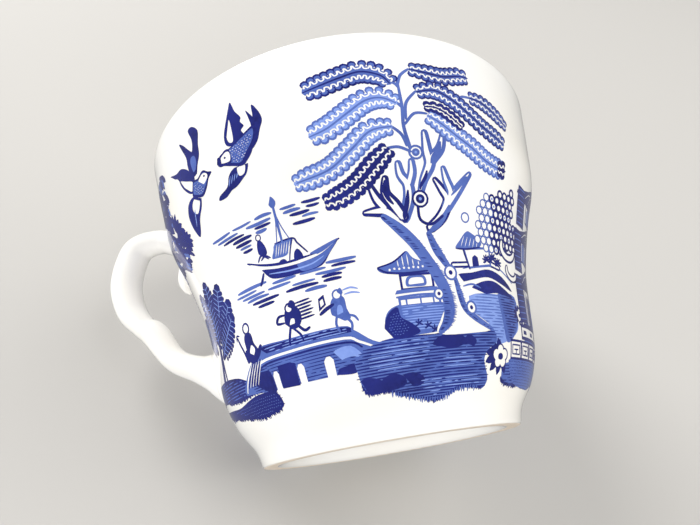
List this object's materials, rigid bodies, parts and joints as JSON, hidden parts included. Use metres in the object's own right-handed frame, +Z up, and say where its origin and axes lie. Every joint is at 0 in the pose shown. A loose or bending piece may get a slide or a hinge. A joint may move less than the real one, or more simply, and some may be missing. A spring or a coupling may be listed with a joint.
{
  "type": "teacup",
  "caption": "Footed teacup with a bell-shaped bowl, a small turned foot ring and an ear-shaped loop handle at one side.",
  "frame": {"origin": "on the table plane, under the middle of the cup's length over bowl and handle", "axes": "+Z up along the bowl's axis, -X towards the handle, +Y completes the frame"},
  "size_m": [0.103, 0.086, 0.065],
  "materials": {
    "bowl_glaze": "clear glossy glaze over a warm white body with an underglaze blue landscape print",
    "handle_glaze": "clear glossy glaze over a warm white body, no print",
    "joint_slip": "fired slip, satin, under the glaze"
  },
  "bodies": {
    "root": {"cup_body": "bowl_glaze", "handle": "handle_glaze", "upper_slip_joint": "joint_slip", "lower_slip_joint": "joint_slip"}
  },
  "joints": []
}
